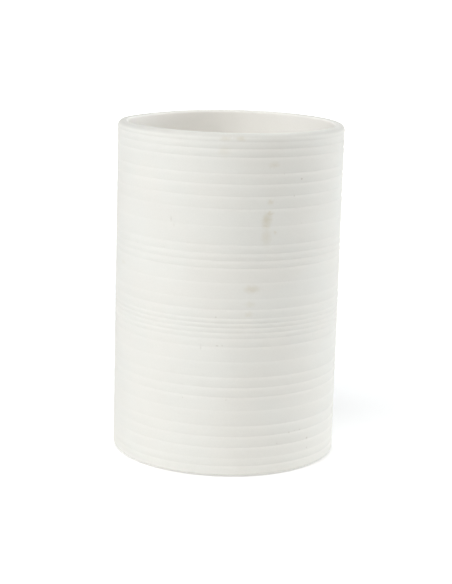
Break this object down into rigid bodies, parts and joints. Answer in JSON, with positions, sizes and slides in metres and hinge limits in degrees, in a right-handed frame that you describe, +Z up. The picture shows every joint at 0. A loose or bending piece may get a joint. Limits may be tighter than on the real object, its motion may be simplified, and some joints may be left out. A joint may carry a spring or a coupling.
{
  "type": "pen holder cup",
  "caption": "Straight round porcelain cup with uneven horizontal reeding outside and a plain deep well inside, for standing pens and pencils on a desk.",
  "frame": {"origin": "centre of the pad's underside, on the surface that the cup stands on", "axes": "+Z up along the cup's axis, from its foot to its lip; the cup is round, so X and Y are free, and -Y is taken as its front"},
  "size_m": [0.075, 0.075, 0.1109],
  "materials": {
    "porcelain": "matte",
    "pad_rubber": "matte",
    "adhesive_film": "matte"
  },
  "bodies": {
    "root": {"cup_body": "porcelain", "anti_slip_pad": "pad_rubber", "pad_adhesive": "adhesive_film"}
  },
  "joints": []
}
